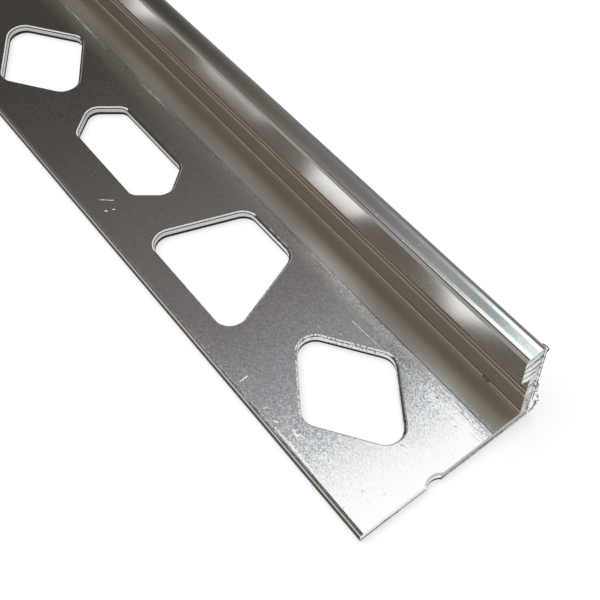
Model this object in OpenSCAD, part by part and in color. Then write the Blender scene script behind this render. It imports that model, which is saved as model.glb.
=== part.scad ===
// Perforated aluminium angle: a thin punched leg that lies flat, and an upright leg with a thick head.
// The length runs along X, the upright leg stands on the +Y side, and the flat leg lies on Z = 0.
// The origin is in the middle of the footprint. Millimetres.

/* [Stock] */
// Length of the piece, as sold
length = 1000; // [200:10:2500]
// Width over both legs, from the free edge to the outer face
width = 22; // [20:0.5:40]
// Height over both legs, from the underside to the top of the head
height = 12.5; // [10:0.5:30]

/* [Flat leg] */
// Thickness of the flat leg
leg_t = 1.2; // [0.8:0.1:2]
// Height of the thin free edge
edge_t = 0.8; // [0.4:0.1:1.1]
// Width of the bevel that thins the leg to its free edge
edge_bevel = 0.3; // [0.1:0.1:1]

/* [Upright leg] */
// Thickness of the upright leg below its head
wall_t = 1.3; // [0.9:0.1:2]
// Width of the head, which is the edge that stays in view
head_w = 2.5; // [2.2:0.1:4]
// Height of the head's inner face, from its top to its lip
head_h = 4; // [2:0.1:6]
// Drop of the head's underside from its lip to the wall
head_drop = 0.7; // [0:0.1:1.5]
// Height of the small bead along the wall's inner face
bead_z = 4.9; // [3:0.1:5.5]
// Radius of the bead
bead_r = 0.3; // [0.1:0.05:0.5]
// How far the bead stands proud of the wall
bead_proud = 0.15; // [0.05:0.05:0.3]

/* [Corners] */
// Radius of the head's outer corner
crown_r = 0.5; // [0.1:0.1:1]
// Radius of the sharp extruded corners
corner_r = 0.15; // [0.05:0.05:0.2]
// Radius of the fillet where the two legs meet inside
root_r = 0.35; // [0.1:0.05:0.8]

/* [Holes] */
// Spacing of the holes along the length
pitch = 21.6; // [20.5:0.1:40]
// Distance from the cut end to the middle of the first hole
first_x = 13.1; // [10:0.1:25]
// Distance from the free edge to the middle of the row
row_y = 9.25; // [8:0.25:12]
// Length of the rhombus over its sharp corners
rhombus_l = 18.2; // [8:0.1:19]
// Width of the rhombus over its sharp corners
rhombus_w = 12.3; // [6:0.1:14]
// Length of the trapezoid's long side, towards the free edge
trapezoid_l = 17.5; // [10:0.1:19]
// Length of the trapezoid's short side, towards the wall
trapezoid_top = 8.5; // [6:0.1:10]
// Width of the trapezoid across the leg
trapezoid_w = 11.7; // [6:0.1:14]
// Length of the hexagon over its sharp tips
hexagon_l = 18.7; // [12:0.1:19]
// Width of the hexagon across the leg
hexagon_w = 7; // [5:0.1:10]
// Length of each pointed end of the hexagon
hexagon_tip = 2.9; // [2:0.1:5]
// Corner radius of the rhombus and the trapezoid
hole_r = 1.9; // [0.5:0.1:2]
// Corner radius of the hexagon
hexagon_r = 1.5; // [0.5:0.1:2]
// Least metal left between the last hole and the far end
end_land = 3; // [2:0.5:20]

/* [Hidden] */
$fn = 32;

// Faces and edges of the section, with Y from the free edge and Z from the underside
wall_y = width - wall_t;
head_y = width - head_w;
lip_z = height - head_h;

// How far the cutters reach past the metal
past = 1;

// Outlines of the holes, drawn about their middles with their corners still sharp
rhombus = [[-rhombus_l / 2, 0], [0, -rhombus_w / 2], [rhombus_l / 2, 0], [0, rhombus_w / 2]];
trapezoid = [
    [-trapezoid_l / 2, -trapezoid_w / 2], [trapezoid_l / 2, -trapezoid_w / 2],
    [trapezoid_top / 2, trapezoid_w / 2], [-trapezoid_top / 2, trapezoid_w / 2]
];
hexagon_flat = hexagon_l / 2 - hexagon_tip;
hexagon = [
    [-hexagon_l / 2, 0], [-hexagon_flat, -hexagon_w / 2], [hexagon_flat, -hexagon_w / 2],
    [hexagon_l / 2, 0], [hexagon_flat, hexagon_w / 2], [-hexagon_flat, hexagon_w / 2]
];

// The row repeats these three; hole 0 is the rhombus nearest the cut end, and hole -1 is the one
// that the saw has just clipped
row = [rhombus, trapezoid, hexagon];
row_r = [hole_r, hole_r, hexagon_r];
function kind(i) = (i + len(row)) % len(row);
longest = max(rhombus_l, trapezoid_l, hexagon_l);
last_hole = floor((length - first_x - longest / 2 - end_land) / pitch);

// Turns a vector by a quarter, to its right
function right(v) = [v[1], -v[0]];
function unit(v) = v / norm(v);

// Centre of the arc that rounds corner i of an outline that runs anticlockwise
function arc_centre(pts, i, r) =
    let (n = len(pts), p = pts[i],
         a = unit(pts[(i + n - 1) % n] - p), b = unit(pts[(i + 1) % n] - p),
         half = acos(a * b) / 2)
    p + unit(a + b) * r / sin(half);

// A convex outline with every corner rounded by an arc
module rounded(pts, r) {
    n = len(pts);
    centres = [for (i = [0:n - 1]) arc_centre(pts, i, r)];
    polygon([
        for (i = [0:n - 1])
            for (j = [(i + n - 1) % n, i])
                centres[i] + r * right(unit(pts[(j + 1) % n] - pts[j]))
    ]);
    for (c = centres) translate(c) circle(r);
}

// What a radius leaves over in a square corner: the corner is at the origin, its metal towards +X +Y
module corner_waste(r) {
    difference() {
        translate([-past, -past]) square(r + past);
        translate([r, r]) circle(r);
    }
}

// The extruded section, with Y across and Z up drawn as X and Y
module section() {
    difference() {
        union() {
            polygon([
                [0, 0], [width, 0], [width, height], [head_y, height], [head_y, lip_z],
                [wall_y, lip_z - head_drop], [wall_y, leg_t], [edge_bevel, leg_t], [0, edge_t]
            ]);
            translate([wall_y - bead_proud + bead_r, bead_z]) circle(bead_r);
            difference() {
                translate([wall_y - root_r, leg_t]) square(root_r);
                translate([wall_y - root_r, leg_t + root_r]) circle(root_r);
            }
        }
        translate([width, height]) rotate(180) corner_waste(crown_r);
        translate([head_y, height]) rotate(-90) corner_waste(corner_r);
        translate([width, 0]) rotate(90) corner_waste(corner_r);
    }
}

module hole(i) {
    translate([length / 2 - first_x - i * pitch, row_y - width / 2, -past])
        linear_extrude(leg_t + 2 * past)
            rounded(row[kind(i)], row_r[kind(i)]);
}

module perforated_angle() {
    color([0.72, 0.72, 0.73])
        difference() {
            translate([-length / 2, -width / 2, 0])
                rotate([90, 0, 90])
                    linear_extrude(length) section();
            for (i = [-1:last_hole]) hole(i);
        }
}

perforated_angle();
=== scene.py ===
import math
from types import SimpleNamespace

import bpy
from mathutils import Matrix, Vector


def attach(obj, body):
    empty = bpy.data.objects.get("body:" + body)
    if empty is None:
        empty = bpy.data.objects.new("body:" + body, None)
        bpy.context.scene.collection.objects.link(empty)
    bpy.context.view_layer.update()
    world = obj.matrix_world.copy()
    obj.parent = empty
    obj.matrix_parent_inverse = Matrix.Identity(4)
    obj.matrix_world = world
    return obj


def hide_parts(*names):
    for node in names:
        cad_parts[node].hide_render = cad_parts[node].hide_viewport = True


# A perforated aluminium angle, seen from its sawn end: a punched leg that lies flat and an upright
# leg with a thick head. The length runs along X, the upright leg stands on the +Y side.
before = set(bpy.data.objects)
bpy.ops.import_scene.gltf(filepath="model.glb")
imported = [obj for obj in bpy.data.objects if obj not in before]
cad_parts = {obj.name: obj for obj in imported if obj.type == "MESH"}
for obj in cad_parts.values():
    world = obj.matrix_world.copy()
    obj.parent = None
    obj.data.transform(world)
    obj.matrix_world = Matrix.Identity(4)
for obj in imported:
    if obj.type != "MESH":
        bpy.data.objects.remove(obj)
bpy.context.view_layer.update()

MM = 0.001

# Stock, in millimetres, as in the part's source
LENGTH = 1000.0
WIDTH = 22.0
HEIGHT = 12.5
LEG_T = 1.2
WALL_T = 1.3
HEAD_W = 2.5
LIP_Z = 8.5
HEAD_DROP = 0.7
EDGE_T = 0.8
EDGE_BEVEL = 0.3
BEAD_Z = 4.9

# The outer face lies this far inside the width, which leaves room for the burrs
OUTER_Y = 0.06

# The die's fine ribs on the wall: how far they stand out, and where the painted highlights on their
# undersides start
RIB = 0.11
RIB_Z = (1.64, 5.00, 5.74)

# The row of holes
PITCH = 21.6
FIRST_X = 13.1
ROW_Y = 9.25
HOLES = 47
RHOMBUS = [(-9.1, 0), (0, -6.15), (9.1, 0), (0, 6.15)]
TRAPEZOID = [(-8.75, -5.85), (8.75, -5.85), (4.25, 5.85), (-4.25, 5.85)]
HEXAGON = [(-9.35, 0), (-6.45, -3.5), (6.45, -3.5), (9.35, 0), (6.45, 3.5), (-6.45, 3.5)]
HOLE_R = 1.9
HEXAGON_R = 1.5

# A punched hole's wall from the bottom up: how much wider than the hole, and at what height. It tore
# at the bottom, and rolled over the die at the top.
PUNCH_PROFILE = [
    (0.02, -0.6), (0.02, 0.0), (0.0, 0.30), (0.0, 0.86), (0.012, 0.95), (0.035, 1.03), (0.075, 1.10),
    (0.125, 1.155), (0.18, 1.188), (0.25, 1.203), (0.25, 1.8),
]
# Above this height the hole's rim rolled over further on one side, by up to this share
ROLL_Z = 1.05
ROLL_MORE = 0.9
ROLL_SIDE = Vector((0.56, 0.83))

# The saw: how far its highest step lies inside the end, how high its steps and fine steps are, how far
# below the piece they start, how much they climb on the way across, and how far they wander. They lie
# on a grid of so many points.
SAW_X = 0.02
TOOTH = 1.12
FINE_TOOTH = 0.21
TOOTH_START = 0.45
TOOTH_SLANT = 0.07
TOOTH_WANDER = 2.4
SAW_GRID_Y = 148
SAW_GRID_Z = 300

# Edges that turn by more than this many degrees stay sharp
CREASE = 33

# Marks of handling, painted as matt white glints, and the dark nick low on the wall: from, to and width, as
# distances from the sawn end, from the free edge and up
MARKS = [
    ((6.0, 0.50, 1.2), (14.2, 0.62, 1.2), 0.075),
    ((8.4, 0.62, 1.2), (12.0, 0.72, 1.2), 0.09),
    ((11.8, 1.70, 1.2), (12.8, 1.85, 1.2), 0.15),
    ((12.0, 2.05, 1.2), (12.5, 1.45, 1.2), 0.12),
    ((20.75, 0.90, 1.2), (20.83, 1.95, 1.2), 0.085),
    ((15.05, 0.78, 1.2), (14.80, 0.98, 1.2), 0.10),
    ((16.66, 1.10, 1.2), (16.58, 1.32, 1.2), 0.07),
    ((50.40, 3.55, 1.2), (51.60, 2.25, 1.2), 0.05),
    ((49.60, 1.98, 1.2), (49.45, 2.10, 1.2), 0.09),
    ((49.20, 2.70, 1.2), (49.10, 2.95, 1.2), 0.07),
    ((14.7, 14.9, 1.2), (19.2, 14.7, 1.2), 0.035),
]
NICK = ((4.8, 20.7, 1.52), (5.2, 20.7, 1.68), 0.30)

# Soft borders on the section, in millimetres: across from the free edge, or up from the underside
LEG_TOP = (1.0, 1.1, 1.3, 1.4)
INNER_FACE = (19.2, 19.4, 21.2, 21.3)
INNER_FOOT = (1.20, 1.30)
INNER_TOP = (12.37, 12.40)
HEAD_FACE = (8.2, 8.6)
TOP_FACE = (12.40, 12.42)
TOP_BAND = (20.15, 20.40, 20.95, 21.20)
SWELL = (14.0, 17.0)
BESIDE_WALL = (17.00, 17.10)
DIE_LINE = (16.96, 17.0, 17.05, 17.09)
FAINT_LINE = (16.68, 16.72, 16.80, 16.86)
FLECKS = (17.08, 17.14, 17.3, 17.7)
EDGE_STEP = (0.17, 0.19)
# where the free edge's side gets its painted shade
EDGE_SIDE_SHADE = (0.055, 0.07)
CROWN_LINE = (21.84, 21.87)
CROWN_LIP = (19.90, 19.94)

# The camera, fitted to the photo's straight edges
LENS = 60.0
SENSOR = 36.0
CAMERA_AT = (0.526581, -0.033680, 0.090998)
CAMERA_RIGHT = Vector((0.60785, 0.79290, -0.04276))
CAMERA_DOWN = Vector((0.63837, -0.51999, -0.56753))
CAMERA_AHEAD = Vector((-0.47223, 0.31767, -0.82224))

# The floor's half sizes, and how far it lies below the piece, in metres
FLOOR_X = 0.62
FLOOR_Y = 0.075
FLOOR_DROP = 0.00002


def mm(*values):
    """Millimetres as metres."""
    return [value * MM for value in values]


# Node trees

def node(tree, kind, inputs=None, **settings):
    """A node with its settings, and with its inputs set to values or joined to other sockets."""
    made = tree.nodes.new(kind)
    for name, value in settings.items():
        setattr(made, name, value)
    for key, value in (inputs or {}).items():
        if isinstance(value, bpy.types.NodeSocket):
            tree.links.new(value, made.inputs[key])
        else:
            made.inputs[key].default_value = value
    return made


def calc(tree, operation, a, b=0.0, c=0.0):
    """One step of arithmetic."""
    return node(tree, "ShaderNodeMath", {0: a, 1: b, 2: c}, operation=operation).outputs[0]


def times(tree, first, *others):
    """The product of some values."""
    for other in others:
        first = calc(tree, "MULTIPLY", first, other)
    return first


def most(tree, first, *others):
    """The largest of some values."""
    for other in others:
        first = calc(tree, "MAXIMUM", first, other)
    return first


def rest(tree, value):
    """What a value leaves of 1."""
    return calc(tree, "SUBTRACT", 1.0, value)


def vector_calc(tree, operation, a, b, output=0):
    """One step of arithmetic with vectors."""
    return node(tree, "ShaderNodeVectorMath", {0: a, 1: b}, operation=operation).outputs[output]


def scaled(tree, place, by):
    """A vector times another one, axis by axis."""
    return vector_calc(tree, "MULTIPLY", place, by)


def stretched(tree, place, by):
    """A vector times one number."""
    return node(tree, "ShaderNodeVectorMath", {0: place, "Scale": by}, operation="SCALE").outputs[0]


def vector(tree, x=0.0, y=0.0, z=0.0):
    """A vector from its X, Y and Z."""
    return node(tree, "ShaderNodeCombineXYZ", {0: x, 1: y, 2: z}).outputs[0]


def parts(tree, place):
    """The X, Y and Z of a vector."""
    return node(tree, "ShaderNodeSeparateXYZ", {0: place}).outputs[:]


def steps(tree, value, low, high, start, end, smooth=True):
    """value taken from low..high to start..end, and held there outside."""
    made = node(
        tree, "ShaderNodeMapRange",
        {"Value": value, "From Min": low, "From Max": high, "To Min": start, "To Max": end},
        interpolation_type="SMOOTHSTEP" if smooth else "LINEAR",
    )
    return made.outputs["Result"]


def rise(tree, value, low, high):
    """0 below low and 1 above high."""
    return steps(tree, value, low, high, 0.0, 1.0)


def fall(tree, value, low, high):
    """1 below low and 0 above high."""
    return steps(tree, value, low, high, 1.0, 0.0)


def strip(tree, value, low, low_end, high, high_end):
    """1 between two soft borders and 0 outside them."""
    return times(tree, rise(tree, value, low, low_end), fall(tree, value, high, high_end))


def noise(tree, place, size, detail=2.0, rough=0.5):
    """Noise with so many lumps to the metre along each axis."""
    made = node(tree, "ShaderNodeTexNoise", {
        "Vector": scaled(tree, place, size), "Scale": 1.0, "Detail": detail, "Roughness": rough})
    return made.outputs[0]


def cell_colours(tree, place, size):
    """A random colour for each small cell."""
    made = node(tree, "ShaderNodeTexVoronoi", {"Vector": scaled(tree, place, size), "Scale": 1.0})
    return made.outputs["Color"]


def blend(tree, factor, a, b):
    """A colour between a and b."""
    return node(tree, "ShaderNodeMix", {0: factor, 6: a, 7: b}, data_type="RGBA").outputs[2]


def painted(tree, colour, layers):
    """A colour with others laid over it in turn, each where its mask is."""
    for mask, over in layers:
        colour = blend(tree, mask, colour, over)
    return colour


def relief(tree, height, depth, under=None):
    """A bump of that depth in millimetres, over the bump under it."""
    inputs = {"Height": height, "Distance": depth * MM, "Strength": 1.0}
    if under is not None:
        inputs["Normal"] = under
    return node(tree, "ShaderNodeBump", inputs).outputs[0]


def own_normal(tree):
    """The way the surface faces."""
    return node(tree, "ShaderNodeNewGeometry").outputs["Normal"]


def faceted(tree, place, size, tilt):
    """The surface's own normal, turned a little at random from one small patch to the next."""
    off = vector_calc(tree, "SUBTRACT", cell_colours(tree, place, size), (0.5, 0.5, 0.5))
    turned = vector_calc(tree, "ADD", own_normal(tree), stretched(tree, off, tilt))
    return node(tree, "ShaderNodeVectorMath", {0: turned}, operation="NORMALIZE").outputs[0]


def stroke(tree, place, start, end, wide):
    """1 on a short straight mark between two places in millimetres, from the sawn end and the free edge."""
    first = Vector((LENGTH / 2 - start[0], start[1] - WIDTH / 2, start[2])) * MM
    last = Vector((LENGTH / 2 - end[0], end[1] - WIDTH / 2, end[2])) * MM
    run = last - first
    off = vector_calc(tree, "SUBTRACT", place, first)
    along = vector_calc(tree, "DOT_PRODUCT", off, run / run.length_squared, "Value")
    along = node(tree, "ShaderNodeClamp", {"Value": along}).outputs[0]
    gap = vector_calc(tree, "DISTANCE", off, stretched(tree, run, along), "Value")
    ragged = rise(tree, noise(tree, place, (5200, 5200, 5200), 2, 0.6), 0.38, 0.54)
    return calc(tree, "LESS_THAN", gap, times(tree, ragged, wide * MM))


def grey(level, warm=0.0):
    """A grey, a little redder and less blue where it is warm."""
    return (level * (1 + warm), level, level * (1 - warm), 1.0)


# Materials

def metal(name):
    """A new metal: its tree, its shader and the place on the piece in metres."""
    made = bpy.data.materials.new(name)
    made.use_nodes = True
    tree = made.node_tree
    shader = tree.nodes["Principled BSDF"]
    shader.inputs["Metallic"].default_value = 1.0
    place = node(tree, "ShaderNodeTexCoord").outputs["Object"]
    return made, tree, shader, place


def shade(tree, shader, sockets):
    """Joins the shader's inputs to sockets."""
    for name, socket in sockets.items():
        tree.links.new(socket, shader.inputs[name])


def mill_places(tree, place):
    """The coordinates and the masks of the faces: x is 0.5 at the sawn end, across is in millimetres."""
    x, y, z = parts(tree, place)
    across = calc(tree, "MULTIPLY_ADD", y, 1000.0, WIDTH / 2)
    leg = strip(tree, z, *mm(*LEG_TOP))
    # the wall's inner face and the head's
    inner = times(tree, strip(tree, across, *INNER_FACE), fall(tree, z, *mm(*INNER_TOP)),
                  rise(tree, z, *mm(*INNER_FOOT)))
    # the leg swells a little towards the wall
    slope = calc(tree, "POWER", steps(tree, across, *SWELL, 0.0, 1.0, smooth=False), 2.0)
    return SimpleNamespace(
        x=x, across=across, z=z, leg=leg, inner=inner,
        swell=times(tree, slope, leg, steps(tree, x, 0.485, 0.495, 0.6, 1.15)),
        beside=times(tree, rise(tree, across, *BESIDE_WALL), fall(tree, z, *mm(1.4, 1.6))),
        head=rise(tree, z, *mm(*HEAD_FACE)),
        patch=noise(tree, place, (90, 160, 160), 3, 0.6),
    )


def mill_relief(tree, place, at):
    """Small facets, long shallow waves, die lines, grain and dings; calm on the wall and beside it."""
    lively = rest(tree, times(tree, most(tree, at.beside, at.inner), 0.85))
    lines = noise(tree, place, (12, 4200, 4200), 3, 0.6)
    streaks = rise(tree, noise(tree, place, (450, 5200, 5200), 1, 0.5), 0.50, 0.72)
    grain = noise(tree, place, (4200, 5200, 5200), 2, 0.8)
    dings = rise(tree, noise(tree, place, (700, 1300, 1300), 1, 0.5), 0.74, 0.80)
    waves = noise(tree, place, (130, 50, 50), 2, 0.5)
    facets = times(
        tree, steps(tree, at.patch, 0.35, 0.65, 0.034, 0.050), lively,
        steps(tree, at.x, 0.480, 0.496, 1.0, 0.65), steps(tree, at.z, *mm(12.0, 12.2), 1.0, 0.4),
    )
    bump = faceted(tree, place, (8200, 10500, 10500), facets)
    bump = relief(tree, times(tree, waves, lively), 0.006, bump)
    bump = relief(tree, at.swell, 0.11, bump)
    for height, depth in ((lines, 0.0010), (streaks, 0.0014), (grain, 0.0012)):
        bump = relief(tree, times(tree, height, lively), depth, bump)
    return relief(tree, dings, 0.006, bump)


def mill_shade_and_nick(tree, place, at):
    """Painted shade along the free edge's side and the crown's two corners, and the dark nick low on the
    wall.
    """
    # painted shade on the free edge's side, the crown's outer corner and the top's inner edge
    side_shade = times(tree, fall(tree, at.across, *EDGE_SIDE_SHADE), fall(tree, at.z, *mm(0.91, 0.935)))
    crown = times(tree, rise(tree, at.across, *CROWN_LINE), rise(tree, at.z, *mm(12.30, 12.33)))
    lip = times(tree, fall(tree, at.across, *CROWN_LIP), rise(tree, at.z, *mm(12.36, 12.37)))
    return most(tree, side_shade, times(tree, crown, 0.7), stroke(tree, place, *NICK), lip)


def mill_ledge_highlights(tree, at):
    """Painted highlights on the inner face's ledges: under the head's top edge, and on the lower side of each
    rib.
    """
    ledge = times(tree, fall(tree, at.z, *mm(12.35, 12.37)), rise(tree, at.z, *mm(12.14, 12.24)))
    for low in RIB_Z:
        under = strip(tree, at.z, *mm(low - 0.34, low - 0.26, low - 0.03, low))
        ledge = most(tree, ledge, under)
    return times(tree, ledge, at.inner)


def mill_flecks(tree, place, at):
    """Bluish flecks on the leg, beside the die line, near the sawn end."""
    ragged = rise(tree, noise(tree, place, (3200, 4200, 4200), 2, 0.6), 0.50, 0.60)
    return times(tree, strip(tree, at.across, *FLECKS),
                 steps(tree, at.x, 0.486, 0.496, 0.0, 0.9), ragged)


def wall_colour(tree, at):
    """The inner face: browner low down, lighter on the head, with a painted shadow line over each rib's
    ledge.
    """
    higher = rise(tree, at.z, *mm(4.2, 5.8))
    lower = blend(tree, higher, (0.60, 0.572, 0.515, 1.0), (0.735, 0.69, 0.625, 1.0))
    drawn = blend(tree, at.head, lower, (0.91, 0.90, 0.88, 1.0))
    for low in RIB_Z:
        # a painted shadow line just above each rib's ledge
        line = strip(tree, at.z, *mm(low, low + 0.04, low + 0.26, low + 0.34))
        drawn = blend(tree, times(tree, line, 0.75), drawn, (0.26, 0.23, 0.195, 1.0))
    return drawn


def top_colour(tree, at):
    """The top strip: bright, with a bluish band along its middle near the sawn end."""
    band = times(tree, strip(tree, at.across, *TOP_BAND), rise(tree, at.x, 0.487, 0.494))
    bluish = blend(tree, at.patch, (0.66, 0.74, 0.74, 1.0), (0.86, 0.94, 0.94, 1.0))
    return blend(tree, band, (0.94, 0.955, 0.93, 1.0), bluish)


def leg_layers(tree, place, at):
    """What lies over the leg's colour: the free edge's step, the part beside the wall, die lines and pits."""
    near = rise(tree, at.x, 0.43, 0.47)
    step = times(tree, fall(tree, at.across, *EDGE_STEP), fall(tree, at.z, *mm(1.12, 1.14)))
    away = blend(tree, rise(tree, at.x, 0.41, 0.47), (0.59, 0.59, 0.585, 1.0), (0.98, 0.99, 1.0, 1.0))
    beside = blend(tree, rise(tree, at.across, 17.1, 19.2), away, (0.84, 0.78, 0.705, 1.0))
    # a dotted die line and a fainter one next to it
    dots = noise(tree, place, (1500, 3000, 3000), 2, 0.6)
    line = times(tree, strip(tree, at.across, *DIE_LINE), at.leg,
                 steps(tree, dots, 0.40, 0.50, 0.2, 0.8), steps(tree, at.x, 0.484, 0.494, 0.45, 1.0))
    second = times(tree, strip(tree, at.across, *FAINT_LINE), at.leg,
                   steps(tree, dots, 0.46, 0.54, 0.0, 0.5))
    # dark pits where the leg shines most
    pits = times(
        tree, steps(tree, noise(tree, place, (7800, 9600, 9600), 1, 0.5), 0.51, 0.62, 0.0, 0.62), at.leg,
        rise(tree, at.across, 8.0, 12.0), fall(tree, at.across, 16.2, 16.8),
        fall(tree, at.x, 0.4930, 0.4985), rise(tree, at.x, 0.480, 0.487),
    )
    return [
        (step, blend(tree, near, grey(0.36, 0.03), grey(0.55, 0.03))), (at.beside, beside),
        (line, (0.26, 0.25, 0.29, 1.0)), (second, (0.40, 0.40, 0.45, 1.0)), (pits, (0.20, 0.235, 0.24, 1.0)),
    ]


def mill_aluminium():
    """The extruded faces: die lines along the length, fine pits, a few scratches and long shallow waves, and
    painted shade and highlights.
    """
    made, tree, shader, place = metal("mill_aluminium")
    at = mill_places(tree, place)
    # painted shade on some edges, and the dark nick
    dark = mill_shade_and_nick(tree, place, at)
    ledge = mill_ledge_highlights(tree, at)
    flecks = mill_flecks(tree, place, at)
    # scratches and rubbed flecks, mostly where the leg's free edge was handled, painted matt white as glints
    wear_and_glints = most(tree, *[stroke(tree, place, *mark) for mark in MARKS])
    colour = painted(tree, blend(tree, at.patch, grey(0.80, 0.004), grey(0.85, -0.004)), [
        (at.swell, (0.80, 0.825, 0.855, 1.0)),
        (at.inner, wall_colour(tree, at)),
        (rise(tree, at.z, *mm(*TOP_FACE)), top_colour(tree, at)),
        *leg_layers(tree, place, at),
        (wear_and_glints, grey(0.98)),
        # painted highlights on the ledges
        (ledge, blend(tree, at.head, (0.60, 0.535, 0.45, 1.0), (0.35, 0.335, 0.31, 1.0))),
        (flecks, (0.42, 0.47, 0.52, 1.0)),
        (dark, (0.125, 0.110, 0.095, 1.0)),
    ])
    dull = most(tree, most(tree, dark, wear_and_glints), most(tree, ledge, flecks))
    # the inner face and the part beside it are drawn rougher than the leg and the top
    drawn = steps(tree, at.head, 0.0, 1.0, 0.14, 0.19)
    rough = calc(tree, "MULTIPLY_ADD", at.inner, drawn, steps(tree, at.patch, 0.3, 0.7, 0.05, 0.08))
    rough = calc(tree, "MULTIPLY_ADD", at.beside, 0.29, rough)
    shader.inputs["Anisotropic"].default_value = 0.35
    shade(tree, shader, {
        "Base Color": colour, "Metallic": rest(tree, dull),
        "Roughness": most(tree, rough, times(tree, dull, 0.85)), "Normal": mill_relief(tree, place, at),
        "Tangent": node(tree, "ShaderNodeTangent", direction_type="UV_MAP", uv_map="along").outputs[0],
    })
    return made


def punch_places(tree, place):
    """The coordinates on the holes' walls and what the looks of the walls depend on."""
    x, _, z = parts(tree, place)
    # the chips show near the sawn end
    near = rise(tree, x, 0.448, 0.474)
    cells = cell_colours(tree, place, (7600, 7600, 3200))
    chance = node(tree, "ShaderNodeSeparateColor", {0: cells}).outputs[0]
    clipped = rise(tree, x, 0.4965, 0.4975)
    return SimpleNamespace(
        z=z, near=near, clipped=clipped, whole=rest(tree, clipped), top=rise(tree, z, *mm(1.08, 1.10)),
        facing=parts(tree, own_normal(tree)), drawn=noise(tree, place, (6500, 6500, 500), 2, 0.6),
        chance=calc(tree, "MULTIPLY_ADD", calc(tree, "SUBTRACT", chance, 0.6), near, 0.6),
    )


def punch_rim_highlight(tree, at):
    """A painted highlight: matt white on the rim's sides that face the sawn end, more of it on the side
    towards the wall.
    """
    white = calc(tree, "GREATER_THAN", at.chance, steps(tree, at.facing[1], -0.10, 0.10, 0.12, 0.36))
    brim = calc(tree, "LESS_THAN", at.z, calc(tree, "MULTIPLY_ADD", at.chance, *mm(0.05, 1.170)))
    rim = times(tree, at.top, times(tree, white, rise(tree, at.facing[0], 0.02, 0.10)))
    return times(tree, rim, brim, at.whole)


def punched_wall():
    """The walls of the holes: drawn down by the punch, with painted shadow low down and a painted white
    highlight on the ragged rim.
    """
    made, tree, shader, place = metal("punched_wall")
    at = punch_places(tree, place)
    rim = punch_rim_highlight(tree, at)
    # the hole that the saw clipped is plain and grey, with a thinner painted shadow low on its wall
    foot_shadow = blend(tree, at.clipped, fall(tree, at.z, *mm(0.38, 0.48)),
                 times(tree, fall(tree, at.z, *mm(0.36, 0.44)), 0.92))
    edge = strip(tree, at.z, *mm(0.94, 0.97, 1.06, 1.08))
    # the rolled-over band on the sides that face away gets painted shade: a matt grey band outside its dark
    # line
    roll_shade = times(tree, fall(tree, at.facing[0], -0.10, -0.02), steps(tree, at.z, *mm(1.155, 1.17), 0.0, 0.8))
    far_colour = blend(tree, at.drawn, grey(0.36, 0.02), grey(0.56, 0.01))
    near_colour = blend(tree, at.drawn, grey(0.66), grey(0.86))
    colour = painted(tree, blend(tree, at.near, far_colour, near_colour), [
        (times(tree, calc(tree, "LESS_THAN", at.chance, 0.10), 0.7), grey(0.10, 0.1)),
        (times(tree, edge, calc(tree, "LESS_THAN", at.chance, 0.78)), grey(0.17, 0.1)),
        (at.clipped, grey(0.95)),
        # the painted white highlight on the rim
        (rim, grey(0.97)),
        (roll_shade, blend(tree, at.chance, (0.06, 0.065, 0.06, 1.0), (0.34, 0.37, 0.34, 1.0))),
        # painted shadow low on the wall, where it meets the floor
        (foot_shadow, grey(0.030, 0.15)),
    ])
    matt = most(tree, most(tree, foot_shadow, rim),
                most(tree, roll_shade, times(tree, at.clipped, rise(tree, at.z, *mm(0.90, 1.0)))))
    torn = times(tree, at.top, steps(tree, at.near, 0.0, 1.0, 0.08, 0.24),
                 steps(tree, at.facing[0], -0.10, 0.10, 1.0, 0.5), at.whole)
    facets = faceted(tree, place, (7600, 7600, 7600), calc(tree, "ADD", torn, 0.02))
    shade(tree, shader, {
        "Base Color": colour, "Metallic": rest(tree, matt),
        "Roughness": steps(tree, matt, 0.0, 1.0, 0.18, 0.8), "Normal": relief(tree, at.drawn, 0.003, facets),
    })
    return made


def tooth_run(tree, place):
    """How far up the saw's teeth have come, a little unevenly, in metres, and the place without its X."""
    _, y, z = parts(tree, place)
    flat = vector(tree, 0.0, y, z)
    wander = noise(tree, flat, (1, 180, 420), 2, 0.5)
    up = calc(tree, "MULTIPLY_ADD", y, TOOTH_SLANT, calc(tree, "ADD", z, TOOTH_START * MM))
    return calc(tree, "MULTIPLY_ADD", wander, TOOTH_WANDER * MM, up), flat


def saw_step_shade(tree, place, z):
    """Painted shade: a dark line under each tooth's step, and a fainter one halfway."""
    run, flat = tooth_run(tree, place)
    faint = noise(tree, flat, (1, 500, 900), 2, 0.6)
    tooth = calc(tree, "FRACT", calc(tree, "DIVIDE", run, TOOTH * MM))
    line = times(tree, fall(tree, tooth, 0.12, 0.20), rise(tree, tooth, 0.0, 0.05),
                 steps(tree, faint, 0.40, 0.58, 0.10, 0.95))
    half = times(tree, fall(tree, tooth, 0.66, 0.74), rise(tree, tooth, 0.54, 0.60),
                 steps(tree, faint, 0.50, 0.62, 0.5, 0.0))
    return times(tree, most(tree, line, half), steps(tree, z, *mm(1.6, 2.4), 0.15, 1.0),
                 steps(tree, z, *mm(11.75, 12.05), 1.0, 0.2))


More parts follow.
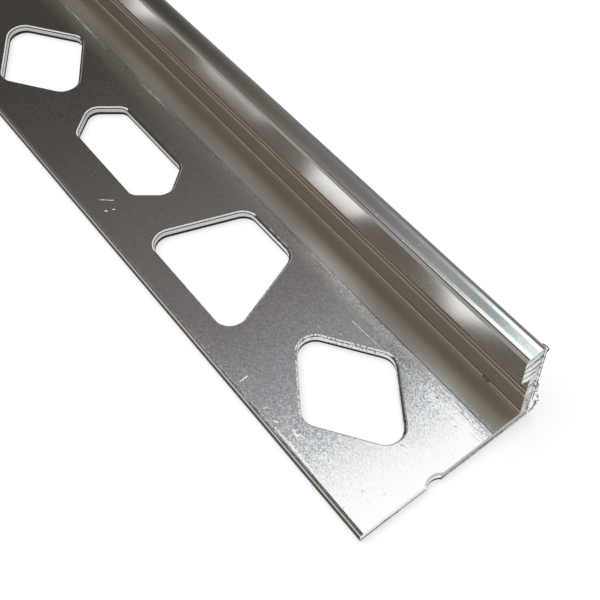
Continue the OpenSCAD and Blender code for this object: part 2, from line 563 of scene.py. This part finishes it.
def saw_cut():
    """The sawn end: white with a painted shade line under each tooth's step, grey and torn lower down, and
    painted shadow along the leg's bottom edge.
    """
    made, tree, shader, place = metal("saw_cut")
    _, y, z = parts(tree, place)
    grain = noise(tree, place, (4600, 4600, 4600), 2, 0.6)
    # torn on the wall's lower part and on the leg next to it
    low = times(tree, fall(tree, z, *mm(3.6, 4.9)), rise(tree, z, *mm(1.0, 1.8)))
    # the leg's end: white on the side of the free edge, beige towards the wall
    left, right = mm(-2.2, -0.8)
    beige = times(tree, fall(tree, z, *mm(1.0, 2.6)), rise(tree, y, left, right))
    # painted shadow along the bottom edge of the leg's end, a little taller on the side of the free edge
    under = fall(tree, z, steps(tree, y, left, right, *mm(0.32, 0.24)),
                 steps(tree, y, left, right, *mm(0.42, 0.32)))
    brim = times(tree, steps(tree, z, *mm(1.10, 1.14), 0.0, 0.6), fall(tree, z, *mm(1.22, 1.26)),
                 rise(tree, y, *mm(5.5, 6.2)))
    colour = painted(tree, grey(0.97), [
        # painted shade under the tooth steps
        (saw_step_shade(tree, place, z), grey(0.26, 0.05)),
        (low, blend(tree, rise(tree, grain, 0.38, 0.62), grey(0.18, 0.09), grey(0.80, 0.03))),
        (beige, blend(tree, grain, (0.40, 0.36, 0.32, 1.0), (0.70, 0.66, 0.61, 1.0))),
        # the painted shadow at the bottom, and a dark band at the top near the wall
        (most(tree, times(tree, under, 0.88), brim), grey(0.06, 0.1)),
    ])
    shade(tree, shader, {
        "Base Color": colour, "Roughness": steps(tree, grain, 0.3, 0.7, 0.16, 0.30),
        "Normal": relief(tree, grain, 0.004),
    })
    return made


def torn_burr(name, dark, light):
    """Thin torn flakes of metal, matt and mottled between two tones."""
    made, tree, shader, place = metal(name)
    shader.inputs["Metallic"].default_value = 0.2
    grain = noise(tree, place, (9000, 9000, 9000), 2, 0.6)
    shade(tree, shader, {
        "Base Color": blend(tree, grain, dark, light), "Roughness": steps(tree, grain, 0.3, 0.7, 0.35, 0.55),
        "Normal": relief(tree, grain, 0.01),
    })
    return made


def floor_white():
    """A white floor that stays white in the metal, greyer behind the piece, and keeps the shadow."""
    made = bpy.data.materials.new("floor_white")
    made.use_nodes = True
    tree = made.node_tree
    tree.nodes.remove(tree.nodes["Principled BSDF"])
    ray = node(tree, "ShaderNodeLightPath").outputs
    y = parts(tree, node(tree, "ShaderNodeTexCoord").outputs["Object"])[1]
    mirrored = times(tree, ray["Is Glossy Ray"], fall(tree, y, 0.0125, 0.020))
    seen = most(tree, ray["Is Camera Ray"], mirrored, ray["Is Transmission Ray"])
    matt = node(tree, "ShaderNodeBsdfDiffuse", {"Color": grey(0.50)})
    lit = node(tree, "ShaderNodeEmission", {"Color": grey(1.0), "Strength": times(tree, seen, 0.57)})
    both = node(tree, "ShaderNodeAddShader", {0: matt.outputs[0], 1: lit.outputs[0]})
    tree.links.new(both.outputs[0], tree.nodes["Material Output"].inputs["Surface"])
    return made


# Light

def studio_world():
    """Dim brown surroundings and a soft bright ceiling over the sawn end, and white to the camera itself."""
    # from west to east: a dim brown, a mauve grey, and then the bright ceiling that falls off to a grey
    ceiling = [
        (-1.0, grey(0.04, 0.1)), (-0.72, grey(0.055, 0.12)), (-0.6, grey(0.13, 0.12)),
        (-0.5, (0.20, 0.18, 0.19, 1.0)), (-0.38, grey(0.43, -0.04)), (-0.34, grey(1.0, -0.02)),
        (-0.3, grey(1.2)), (-0.2, grey(1.2)), (-0.05, grey(0.75)), (0.15, grey(0.5)),
    ]
    world = bpy.data.worlds.new("studio")
    bpy.context.scene.world = world
    world.use_nodes = True
    tree = world.node_tree
    tree.nodes.clear()
    x, y, z = parts(tree, node(tree, "ShaderNodeTexCoord").outputs["Generated"])
    # the ceiling's borders run a little aslant: the further over to the north, the darker
    aslant = calc(tree, "MULTIPLY_ADD", calc(tree, "SUBTRACT", y, 0.27), -0.25, x)
    ramp = node(tree, "ShaderNodeValToRGB", {0: calc(tree, "MULTIPLY_ADD", aslant, 0.5, 0.5)})
    stops = ramp.color_ramp.elements
    for i, (at, colour) in enumerate(ceiling):
        stop = stops[i] if i < 2 else stops.new(0.999)
        stop.position = at / 2 + 0.5
        stop.color = colour
    # behind the camera it is plain brown
    south = node(tree, "ShaderNodeRGB").outputs[0]
    south.default_value = (0.125, 0.105, 0.080, 1.0)
    north = blend(tree, rise(tree, z, 0.0, 0.6), grey(0.12, 0.03), grey(0.24, 0.01))
    east = blend(tree, rise(tree, z, 0.0, 0.8), grey(0.13, 0.06), grey(0.42, 0.01))
    glow = painted(tree, south, [
        (rise(tree, y, -0.36, -0.20), ramp.outputs[0]), (rise(tree, y, 0.56, 0.70), north),
        (rise(tree, x, 0.28, 0.50), east),
    ])
    ray = node(tree, "ShaderNodeLightPath").outputs
    shown = blend(tree, ray["Is Camera Ray"], glow, grey(1.0))
    light = node(tree, "ShaderNodeBackground", {"Color": shown, "Strength": 1.0})
    out = node(tree, "ShaderNodeOutputWorld")
    tree.links.new(light.outputs[0], out.inputs["Surface"])


def placed(name, data):
    """A new object in the scene."""
    made = bpy.data.objects.new(name, data)
    bpy.context.collection.objects.link(made)
    return made


def overhead_lamp():
    """A very soft lamp that lights the floor evenly; the metal mirrors the surroundings instead."""
    light = bpy.data.lights.new("overhead", "SUN")
    light.energy = 2.05
    light.angle = math.radians(70)
    made = placed("overhead", light)
    made.rotation_euler = Vector((-0.35, -0.10, 0.93)).to_track_quat("Z", "Y").to_euler()
    made.visible_glossy = False


def floor():
    """The white floor, which is stage and not part of the piece."""
    mesh = bpy.data.meshes.new("floor")
    corners = [(sx * FLOOR_X, sy * FLOOR_Y, -FLOOR_DROP) for sx, sy in ((-1, -1), (1, -1), (1, 1), (-1, 1))]
    mesh.from_pydata(corners, [], [(0, 1, 2, 3)])
    mesh.materials.append(floor_white())
    placed("floor", mesh)


def camera():
    """Close above the sawn end, looking down along the row."""
    lens = bpy.data.cameras.new("camera")
    lens.lens = LENS
    lens.sensor_width = SENSOR
    lens.clip_start = 0.004
    lens.clip_end = 30.0
    made = placed("camera", lens)
    turn = Matrix((CAMERA_RIGHT, -CAMERA_DOWN, -CAMERA_AHEAD)).transposed().to_4x4()
    made.matrix_world = Matrix.Translation(CAMERA_AT) @ turn
    bpy.context.scene.camera = made


# Meshes

def new_mesh(name, points, edges, faces, material=None):
    """A mesh object from points in millimetres."""
    mesh = bpy.data.meshes.new(name)
    mesh.from_pydata([mm(*p) for p in points], edges, faces)
    if material is not None:
        mesh.materials.append(material)
    return placed(name, mesh)


def arc_centre(corner, before, after, radius):
    """Centre of the arc that rounds a corner, with the directions from the corner to both neighbours."""
    a = (Vector(before) - Vector(corner)).normalized()
    b = (Vector(after) - Vector(corner)).normalized()
    half = a.angle(b) / 2
    return Vector(corner) + (a + b).normalized() * radius / math.sin(half), a, b, half


def arc(corner, before, after, radius, count):
    """The arc that rounds a corner, from the side of the point before it to the side of the one after."""
    centre, a, b, half = arc_centre(corner, before, after, radius)
    start = Vector(corner) + a * radius / math.tan(half) - centre
    end = Vector(corner) + b * radius / math.tan(half) - centre
    turn = start.angle_signed(end)
    return [centre + Matrix.Rotation(-turn * i / count, 2) @ start for i in range(count + 1)]


def rounded(corners, count=6):
    """A closed outline from corners and their radii."""
    points = [point for point, radius in corners]
    line = []
    for i, (point, radius) in enumerate(corners):
        line += arc(point, points[i - 1], points[(i + 1) % len(points)], radius, count)
    return line


def section():
    """The extruded section, as Y from the free edge and Z, in millimetres, each corner with its radius."""
    outer = WIDTH - OUTER_Y
    wall = WIDTH - WALL_T
    head = WIDTH - HEAD_W
    return rounded([
        ((0.0, 0.0), 0.05), ((outer, 0.0), 0.15),
        # the crown's raised outer lip and the shallow step inside it, its flat top and its inner bevels
        ((outer, HEIGHT - 0.02), 0.03), ((outer - 0.07, HEIGHT - 0.125), 0.03),
        ((outer - 0.41, HEIGHT), 0.06), ((outer - 0.78, HEIGHT - 0.04), 0.6),
        ((head + 0.80, HEIGHT - 0.04), 0.6), ((head + 0.47, HEIGHT - 0.078), 0.05),
        ((head + 0.22, HEIGHT - 0.14), 0.04), ((head, HEIGHT - 0.32), 0.04),
        ((head, LIP_Z), 0.06), ((wall, LIP_Z - HEAD_DROP), 0.1),
        # the two ribs of the bead, and the low one over the leg
        ((wall, BEAD_Z + 0.77), 0.02), ((wall - RIB, BEAD_Z + 0.76), 0.05), ((wall, BEAD_Z + 0.35), 0.05),
        ((wall, BEAD_Z - 0.04), 0.02), ((wall - RIB, BEAD_Z - 0.05), 0.05), ((wall, BEAD_Z - 0.45), 0.05),
        ((wall, LEG_T + 0.42), 0.03), ((wall - 0.09, LEG_T + 0.38), 0.04), ((wall - 0.05, LEG_T), 0.12),
        ((EDGE_BEVEL + 0.14, LEG_T), 0.10),
        # the free edge: a narrow bevel, a fine step and the steep corner above the side
        ((0.20, LEG_T - 0.077), 0.03), ((0.14, LEG_T - 0.14), 0.03), ((0.06, LEG_T - 0.27), 0.02),
        ((0.0, EDGE_T), 0.03),
    ])


def punch_corner(corner, before, after, radius, grow, z):
    """One rounded corner of the punch at one height, in millimetres."""
    centre = arc_centre(corner, before, after, radius)[0]
    points = []
    for p in arc(corner, before, after, radius, 9):
        lean = max(0.0, ((p - centre).normalized() @ ROLL_SIDE - 0.5) / 0.5)
        reach = grow * (1.0 + ROLL_MORE * lean) if z > ROLL_Z else grow
        q = centre + (p - centre) * (radius + reach) / radius
        points.append((q.x, q.y, z))
    return points


def hole_cutter(name, corners, radius, material):
    """A punch: rings of the rounded hole, one for each height of its profile."""
    points = []
    for grow, z in PUNCH_PROFILE:
        for i, corner in enumerate(corners):
            points += punch_corner(corner, corners[i - 1], corners[(i + 1) % len(corners)], radius, grow, z)
    rings = len(PUNCH_PROFILE)
    around = len(points) // rings
    faces = [tuple(reversed(range(around)))]
    for ring in range(rings - 1):
        for i in range(around):
            a, b = ring * around + i, ring * around + (i + 1) % around
            faces.append((a, b, b + around, a + around))
    faces.append(tuple(range((rings - 1) * around, rings * around)))
    return new_mesh(name, points, [], faces, material)


# Geometry Nodes

def geometry_tree(name, inputs):
    """An empty tree with named inputs; it returns the tree, its inputs and its output node."""
    tree = bpy.data.node_groups.new(name, "GeometryNodeTree")
    tree.interface.new_socket("Geometry", in_out="OUTPUT", socket_type="NodeSocketGeometry")
    tree.interface.new_socket("Geometry", in_out="INPUT", socket_type="NodeSocketGeometry")
    for label, kind in inputs:
        tree.interface.new_socket(label, in_out="INPUT", socket_type="NodeSocket" + kind)
    entry = tree.nodes.new("NodeGroupInput")
    return tree, entry.outputs, tree.nodes.new("NodeGroupOutput")


def geometry(tree, kind, inputs, **settings):
    """The first output of a geometry node."""
    return node(tree, "GeometryNode" + kind, inputs, **settings).outputs[0]


def joined(tree, *pieces):
    """Several geometries as one."""
    both = node(tree, "GeometryNodeJoinGeometry")
    for piece in pieces:
        tree.links.new(piece, both.inputs[0])
    return both.outputs[0]


def set_inputs(modifier, values):
    """Sets a modifier's inputs by the identifiers of their sockets."""
    for item in modifier.node_group.interface.items_tree:
        if item.in_out == "INPUT" and item.name in values:
            modifier[item.identifier] = values[item.name]


def made_plain(source, name):
    """The evaluated result of an object as a plain mesh object; the source is removed."""
    source.data.update()
    depsgraph = bpy.context.evaluated_depsgraph_get()
    mesh = bpy.data.meshes.new_from_object(source.evaluated_get(depsgraph), depsgraph=depsgraph)
    bpy.data.objects.remove(source)
    mesh.name = name
    return placed(name, mesh)


def solid_between(tree, surface, offset):
    """A closed solid between a surface and the same surface moved along its normals' side."""
    pulled = geometry(tree, "ExtrudeMesh", {
        "Mesh": surface, "Offset": offset, "Offset Scale": 1.0, "Individual": False}, mode="FACES")
    back = geometry(tree, "FlipFaces", {"Mesh": surface})
    return geometry(tree, "MergeByDistance", {"Geometry": joined(tree, pulled, back), "Distance": 1e-6})


def cut_away(tree, mesh, cutter):
    """A mesh without what the cutter holds."""
    return geometry(tree, "MeshBoolean", {"Mesh 1": mesh, "Mesh 2": cutter},
                    operation="DIFFERENCE", solver="MANIFOLD")


def saw_block(tree, entry):
    """What the saw took away: a block whose near face carries the teeth's steps."""
    grid = geometry(tree, "MeshGrid", {
        "Size X": 15.0 * MM, "Size Y": 24.0 * MM, "Vertices X": SAW_GRID_Z, "Vertices Y": SAW_GRID_Y})
    # turned so that the grid faces along the length, with its Y across
    stood = geometry(tree, "Transform", {"Geometry": grid, "Rotation": (0.0, math.radians(90), 0.0)})
    set_up = geometry(tree, "Transform", {
        "Geometry": stood, "Translation": (0.5 * LENGTH * MM, 0.0, 6.5 * MM)})
    place = node(tree, "GeometryNodeInputPosition").outputs[0]
    z = parts(tree, place)[2]
    run, flat = tooth_run(tree, place)
    tooth = calc(tree, "FRACT", calc(tree, "DIVIDE", run, entry["Tooth step"]))
    ledge = calc(tree, "SUBTRACT", rise(tree, tooth, 0.0, 0.10), tooth)
    fine = calc(tree, "FRACT", calc(tree, "DIVIDE", run, entry["Fine step"]))
    fine = calc(tree, "SUBTRACT", rise(tree, fine, 0.0, 0.25), fine)
    rough = noise(tree, flat, (1, 3200, 3200), 3, 0.6)
    # the steps are shallower and the grain is rougher low down, where the cut is torn
    low = fall(tree, z, 0.0030, 0.0048)
    depth = times(tree, ledge, steps(tree, low, 0.0, 1.0, *mm(0.085, 0.02)))
    depth = calc(tree, "MULTIPLY_ADD", fine, 0.012 * MM, depth)
    depth = calc(tree, "MULTIPLY_ADD", rough, steps(tree, low, 0.0, 1.0, *mm(0.02, 0.10)), depth)
    shift = calc(tree, "MULTIPLY_ADD", depth, -1.0, -SAW_X * MM)
    cut = geometry(tree, "SetPosition", {"Geometry": set_up, "Offset": vector(tree, shift)})
    return solid_between(tree, cut, (1.0 * MM, 0.0, 0.0))


def punch_row(tree, entry):
    """The three punches in turn along the row, from the one that the saw clipped to the far end."""
    start = calc(tree, "SUBTRACT", entry["Pitch"], entry["First hole"])
    start = calc(tree, "MULTIPLY_ADD", entry["Length"], 0.5, start)
    line = geometry(tree, "MeshLine", {
        "Count": entry["Holes"], "Start Location": vector(tree, start, entry["Row"]),
        "Offset": vector(tree, times(tree, entry["Pitch"], -1.0))}, mode="OFFSET")
    # the last one joined has index 0
    punches = [node(tree, "GeometryNodeObjectInfo", {"Object": entry[label], "As Instance": True})
               for label in ("Hexagon", "Trapezoid", "Rhombus")]
    kinds = joined(tree, *[punch.outputs["Geometry"] for punch in punches])
    number = node(tree, "GeometryNodeInputIndex").outputs[0]
    kind = calc(tree, "MODULO", calc(tree, "ADD", number, 2.0), 3.0)
    return geometry(tree, "InstanceOnPoints", {
        "Points": line, "Instance": kinds, "Pick Instance": True, "Instance Index": kind})


def angle_tree():
    """The whole piece: the section drawn out, the row of holes punched and the near end sawn."""
    tree, entry, out = geometry_tree("Perforated angle", [
        ("Length", "Float"), ("Pitch", "Float"), ("First hole", "Float"), ("Row", "Float"), ("Holes", "Int"),
        ("Tooth step", "Float"), ("Fine step", "Float"),
        ("Rhombus", "Object"), ("Trapezoid", "Object"), ("Hexagon", "Object"),
        ("Metal", "Material"), ("Sawn", "Material"),
    ])
    skin = geometry(tree, "SetMaterial", {"Geometry": entry["Geometry"], "Material": entry["Metal"]})
    bar = solid_between(tree, skin, vector(tree, entry["Length"]))
    punched = cut_away(tree, bar, punch_row(tree, entry))
    block = geometry(tree, "SetMaterial", {"Geometry": saw_block(tree, entry), "Material": entry["Sawn"]})
    sawn = cut_away(tree, punched, block)

    # the length runs along the map's U, so that the gloss stretches across the die lines
    x, y, z = parts(tree, node(tree, "GeometryNodeInputPosition").outputs[0])
    uv = vector(tree, x, calc(tree, "ADD", y, z))
    mapped = geometry(tree, "StoreNamedAttribute", {"Geometry": sawn, "Name": "along", "Value": uv},
                      data_type="FLOAT2", domain="CORNER")
    smooth = geometry(tree, "SetShadeSmooth", {"Geometry": mapped, "Shade Smooth": True}, domain="FACE")
    angle = node(tree, "GeometryNodeInputMeshEdgeAngle").outputs["Unsigned Angle"]
    sharp = node(tree, "FunctionNodeCompare", {"A": angle, "B": math.radians(CREASE)},
                 operation="GREATER_THAN")
    creased = geometry(tree, "SetShadeSmooth", {
        "Geometry": smooth, "Selection": sharp.outputs[0], "Shade Smooth": False}, domain="EDGE")
    tree.links.new(geometry(tree, "RealizeInstances", {"Geometry": creased}), out.inputs[0])
    return tree


def perforated_angle(finish):
    """The one piece of stock."""
    line = section()
    points = [(-LENGTH / 2, p.x - WIDTH / 2, p.y) for p in line]
    # the face looks along the length, towards the sawn end
    stock = new_mesh("stock", points, [], [tuple(range(len(line)))], finish["mill"])
    punches = {
        "Rhombus": hole_cutter("rhombus_punch", RHOMBUS, HOLE_R, finish["punched"]),
        "Trapezoid": hole_cutter("trapezoid_punch", TRAPEZOID, HOLE_R, finish["punched"]),
        "Hexagon": hole_cutter("hexagon_punch", HEXAGON, HEXAGON_R, finish["punched"]),
    }
    row = stock.modifiers.new("row", "NODES")
    row.node_group = angle_tree()
    set_inputs(row, {
        "Length": LENGTH * MM, "Pitch": PITCH * MM, "First hole": FIRST_X * MM,
        "Row": (ROW_Y - WIDTH / 2) * MM, "Holes": HOLES,
        "Tooth step": TOOTH * MM, "Fine step": FINE_TOOTH * MM,
        "Metal": finish["mill"], "Sawn": finish["sawn"], **punches,
    })
    weighted = stock.modifiers.new("flat", "WEIGHTED_NORMAL")
    weighted.keep_sharp = True
    weighted.weight = 80
    made = made_plain(stock, "angle_stock")
    for punch in punches.values():
        bpy.data.objects.remove(punch)
    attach(made, "root")
    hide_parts("perforated_angle")
    return made


def burr_tree():
    """Flakes that sit along a path, with gaps, each moved and sized at random."""
    tree, entry, out = geometry_tree("Saw burr", [
        ("Spacing", "Float"), ("Flake", "Vector"), ("Spread", "Vector"), ("Share", "Float"), ("Seed", "Int"),
        ("Metal", "Material"),
    ])

    def at_random(low, high):
        """A vector for each flake, with each of its parts between two limits."""
        limits = {0: (low, low, low), 1: (high, high, high), "Seed": entry["Seed"]}
        return node(tree, "FunctionNodeRandomValue", limits, data_type="FLOAT_VECTOR").outputs[0]

    path = geometry(tree, "MeshToCurve", {"Mesh": entry["Geometry"]})
    path = geometry(tree, "ResampleCurve", {"Curve": path, "Length": entry["Spacing"]}, mode="LENGTH")
    kept = node(tree, "FunctionNodeRandomValue", {"Probability": entry["Share"], "Seed": entry["Seed"]},
                data_type="BOOLEAN").outputs[3]
    flake = geometry(tree, "MeshIcoSphere", {"Radius": 1.0, "Subdivisions": 2})
    place = node(tree, "GeometryNodeInputPosition").outputs[0]
    ragged = node(tree, "ShaderNodeTexNoise", {"Vector": place, "Scale": 1.3, "Detail": 2.0}).outputs["Color"]
    ragged = scaled(tree, vector_calc(tree, "SUBTRACT", ragged, (0.5, 0.5, 0.5)), (0.9, 0.9, 0.9))
    flake = geometry(tree, "SetPosition", {"Geometry": flake, "Offset": ragged})
    size = scaled(tree, at_random(0.5, 1.2), entry["Flake"])
    away = scaled(tree, at_random(-1.0, 1.0), entry["Spread"])
    moved = geometry(tree, "SetPosition", {"Geometry": path, "Offset": away})
    flakes = geometry(tree, "InstanceOnPoints", {
        "Points": moved, "Selection": kept, "Instance": flake, "Scale": size})
    real = geometry(tree, "RealizeInstances", {"Geometry": flakes})
    smooth = geometry(tree, "SetShadeSmooth", {"Geometry": real, "Shade Smooth": True}, domain="FACE")
    done = geometry(tree, "SetMaterial", {"Geometry": smooth, "Material": entry["Metal"]})
    tree.links.new(done, out.inputs[0])
    return tree


def burr(name, tree, path, metal, spacing, flake, spread, share, seed):
    """One line of burrs, with its path and its sizes in millimetres."""
    made = new_mesh(name, path, [(i, i + 1) for i in range(len(path) - 1)], [])
    flakes = made.modifiers.new("flakes", "NODES")
    flakes.node_group = tree
    set_inputs(flakes, {
        "Spacing": spacing * MM, "Flake": mm(*flake), "Spread": mm(*spread), "Share": share, "Seed": seed,
        "Metal": metal,
    })
    made = made_plain(made, name)
    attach(made, "root")


def saw_burrs(metal, pale):
    """What the saw left standing: a dark feather under the leg, partly burr and partly a painted shadow line,
    dashes up the outer edge, crumbs and a curl.
    """
    tree = burr_tree()
    end = LENGTH / 2 - SAW_X
    side = WIDTH / 2 - OUTER_Y
    # a dark feather along the bottom, partly burr and partly painted shadow
    burr("burr_feather", tree, [(end, -0.9, 0.04), (end, 10.8, 0.04)], metal,
         spacing=0.09, flake=(0.025, 0.10, 0.03), spread=(0.01, 0.02, 0.01), share=0.93, seed=3)
    burr("burr_dashes", tree, [(end + 0.05, side + 0.02, 3.0), (end + 0.05, side + 0.02, 12.0)], metal,
         spacing=0.17, flake=(0.055, 0.050, 0.16), spread=(0.01, 0.01, 0.05), share=0.90, seed=5)
    crumbs = [
        (end + 0.16, side, 6.2), (end + 0.12, side + 0.02, 5.1), (end + 0.34, side, 4.4),
        (end + 0.60, side, 3.9), (end + 0.40, side - 0.05, 2.8),
    ]
    burr("burr_crumbs", tree, crumbs, metal,
         spacing=0.125, flake=(0.070, 0.07, 0.080), spread=(0.17, 0.06, 0.16), share=0.66, seed=11)
    flake = [(end + 0.54, side - 0.02, 2.9), (end + 0.36, side, 1.7), (end + 0.14, side, 0.45)]
    burr("burr_flake", tree, flake, pale,
         spacing=0.12, flake=(0.10, 0.10, 0.16), spread=(0.06, 0.04, 0.04), share=0.8, seed=4)
    curl = [
        (end - 0.60, side + 0.08, 12.38), (end - 0.15, side + 0.14, 12.38), (end + 0.06, side + 0.15, 12.36),
        (end + 0.11, side + 0.12, 12.20), (end + 0.10, side + 0.06, 12.02),
    ]
    burr("burr_curl", tree, curl, metal,
         spacing=0.05, flake=(0.07, 0.055, 0.08), spread=(0.008, 0.006, 0.008), share=1.0, seed=2)


bpy.context.scene.view_settings.view_transform = "Standard"
finish = {"mill": mill_aluminium(), "punched": punched_wall(), "sawn": saw_cut()}
body = perforated_angle(finish)
# the dark burrs' tones are partly their own and partly painted shade
saw_burrs(torn_burr("torn_burr", (0.06, 0.052, 0.045, 1.0), (0.30, 0.27, 0.24, 1.0)),
          torn_burr("torn_flake", (0.50, 0.48, 0.46, 1.0), (0.95, 0.94, 0.92, 1.0)))
studio_world()
overhead_lamp()
floor()
camera()

print("triangles", sum(len(p.vertices) - 2 for p in body.data.polygons))
